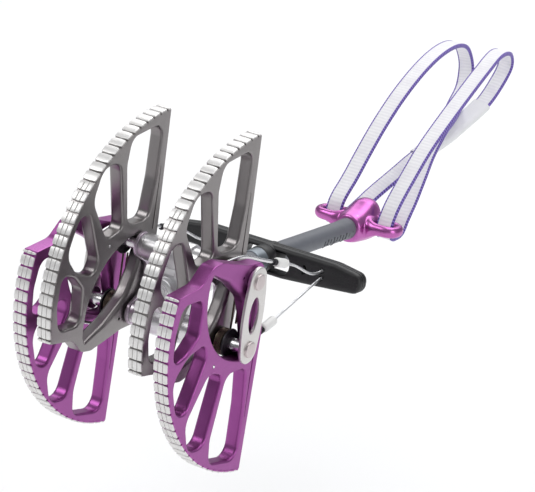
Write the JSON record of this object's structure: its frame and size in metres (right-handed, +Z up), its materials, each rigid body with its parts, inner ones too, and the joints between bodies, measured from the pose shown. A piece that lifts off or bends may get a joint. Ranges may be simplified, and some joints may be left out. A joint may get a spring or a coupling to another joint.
{
  "type": "spring loaded camming device",
  "caption": "Climbing cam with sprung toothed lobes on two axles, a sliding trigger bar with wires, a sheathed stem, a thumb piece and a webbing sling.",
  "frame": {"origin": "midway between the two axles, at the middle of the head", "axes": "+X along the axles, +Y from the cams along the stem to the thumb piece, +Z up, the way the inner cams' tips point"},
  "size_m": [0.101, 0.3592, 0.1567],
  "materials": {
    "cam_grey": "anodised gunmetal grey, bare silver tooth tops",
    "cam_purple": "anodised purple, bare silver tooth tops",
    "rod_steel": "bright drawn steel wire",
    "collar_black": "dark crimp collar",
    "ferrule_white": "white satin",
    "cable_steel": "braided steel strands",
    "spring_steel": "dark drawn spring wire",
    "axle_steel": "turned steel",
    "plate_steel": "tumbled bright steel",
    "terminal_silver": "machined silver",
    "sheath_grey": "satin grey moulded plastic",
    "thumb_purple": "polished pink-purple anodising",
    "webbing": "white woven webbing with purple edge threads",
    "label_white": "white folded tape",
    "trigger_black": "satin black moulded plastic",
    "sleeve_grey": "satin grey moulded plastic"
  },
  "bodies": {
    "root": {"stem_cable": "cable_steel", "stem_sheath": "sheath_grey", "stem_ferrule": "axle_steel", "head_terminal": "terminal_silver", "upper_axle": "axle_steel", "lower_axle": "axle_steel", "left_side_plate": "plate_steel", "right_side_plate": "plate_steel", "left_inner_plate": "plate_steel", "right_inner_plate": "plate_steel", "upper_spacers": "terminal_silver", "lower_spacers": "terminal_silver", "upper_sleeves": "axle_steel", "lower_sleeves": "axle_steel", "plate_washers": "axle_steel", "spring_inner_left": "spring_steel", "spring_inner_right": "spring_steel", "spring_outer_left": "spring_steel", "spring_outer_right": "spring_steel", "thumb_piece": "thumb_purple", "sling": "webbing", "sling_label": "label_white"},
    "trigger": {"trigger_bar": "trigger_black", "trigger_sleeve": "sleeve_grey", "left_cable_loop": "cable_steel", "right_cable_loop": "cable_steel"},
    "cam_inner_left": {"cam_inner_left": "cam_grey"},
    "wire_inner_left": {"rod_inner_left": "rod_steel", "collar_inner_left": "collar_black", "ferrule_inner_left": "ferrule_white", "cable_inner_left": "cable_steel"},
    "cam_inner_right": {"cam_inner_right": "cam_grey"},
    "wire_inner_right": {"rod_inner_right": "rod_steel", "collar_inner_right": "collar_black", "ferrule_inner_right": "ferrule_white", "cable_inner_right": "cable_steel"},
    "cam_outer_left": {"cam_outer_left": "cam_purple"},
    "wire_outer_left": {"rod_outer_left": "rod_steel", "collar_outer_left": "collar_black", "ferrule_outer_left": "ferrule_white", "cable_outer_left": "cable_steel"},
    "cam_outer_right": {"cam_outer_right": "cam_purple"},
    "wire_outer_right": {"rod_outer_right": "rod_steel", "collar_outer_right": "collar_black", "ferrule_outer_right": "ferrule_white", "cable_outer_right": "cable_steel"}
  },
  "joints": [
    {"name": "trigger_slide", "type": "slide", "parent": "root", "child": "trigger", "axis": [0, 1, 0], "range_m": [0, 0.0478], "stiffness_N_per_m": 250, "springref_m": -0.03},
    {"name": "cam_inner_left_pivot", "type": "hinge", "parent": "root", "child": "cam_inner_left", "pos_m": [-0.02355, 0, -0.01555], "axis": [-1, 0, 0], "range_deg": [0, 69.67], "deforming": ["spring_inner_left"]},
    {"name": "wire_inner_left_pivot", "type": "hinge", "parent": "cam_inner_left", "child": "wire_inner_left", "pos_m": [-0.02355, -0.0239, 0.0188], "axis": [1, 0, 0], "range_deg": [0, 69.67], "deforming": ["cable_inner_left"]},
    {"name": "cam_inner_right_pivot", "type": "hinge", "parent": "root", "child": "cam_inner_right", "pos_m": [0.02355, 0, -0.01555], "axis": [-1, 0, 0], "range_deg": [0, 69.67], "deforming": ["spring_inner_right"]},
    {"name": "wire_inner_right_pivot", "type": "hinge", "parent": "cam_inner_right", "child": "wire_inner_right", "pos_m": [0.02355, -0.0239, 0.0188], "axis": [1, 0, 0], "range_deg": [0, 69.67], "deforming": ["cable_inner_right"]},
    {"name": "cam_outer_left_pivot", "type": "hinge", "parent": "root", "child": "cam_outer_left", "pos_m": [-0.03645, 0, 0.01555], "axis": [1, 0, 0], "range_deg": [0, 69.67], "deforming": ["spring_outer_left"]},
    {"name": "wire_outer_left_pivot", "type": "hinge", "parent": "cam_outer_left", "child": "wire_outer_left", "pos_m": [-0.03645, -0.0239, -0.0188], "axis": [-1, 0, 0], "range_deg": [0, 69.67], "deforming": ["cable_outer_left"]},
    {"name": "cam_outer_right_pivot", "type": "hinge", "parent": "root", "child": "cam_outer_right", "pos_m": [0.03645, 0, 0.01555], "axis": [1, 0, 0], "range_deg": [0, 69.67], "deforming": ["spring_outer_right"]},
    {"name": "wire_outer_right_pivot", "type": "hinge", "parent": "cam_outer_right", "child": "wire_outer_right", "pos_m": [0.03645, -0.0239, -0.0188], "axis": [-1, 0, 0], "range_deg": [0, 69.67], "deforming": ["cable_outer_right"]}
  ],
  "couplings": [
    {"joint": "cam_inner_left_pivot", "follows": "trigger_slide", "rad_per_m": 25.435},
    {"joint": "wire_inner_left_pivot", "follows": "trigger_slide", "rad_per_m": 25.435},
    {"joint": "cam_inner_right_pivot", "follows": "trigger_slide", "rad_per_m": 25.435},
    {"joint": "wire_inner_right_pivot", "follows": "trigger_slide", "rad_per_m": 25.435},
    {"joint": "cam_outer_left_pivot", "follows": "trigger_slide", "rad_per_m": 25.435},
    {"joint": "wire_outer_left_pivot", "follows": "trigger_slide", "rad_per_m": 25.435},
    {"joint": "cam_outer_right_pivot", "follows": "trigger_slide", "rad_per_m": 25.435},
    {"joint": "wire_outer_right_pivot", "follows": "trigger_slide", "rad_per_m": 25.435}
  ]
}
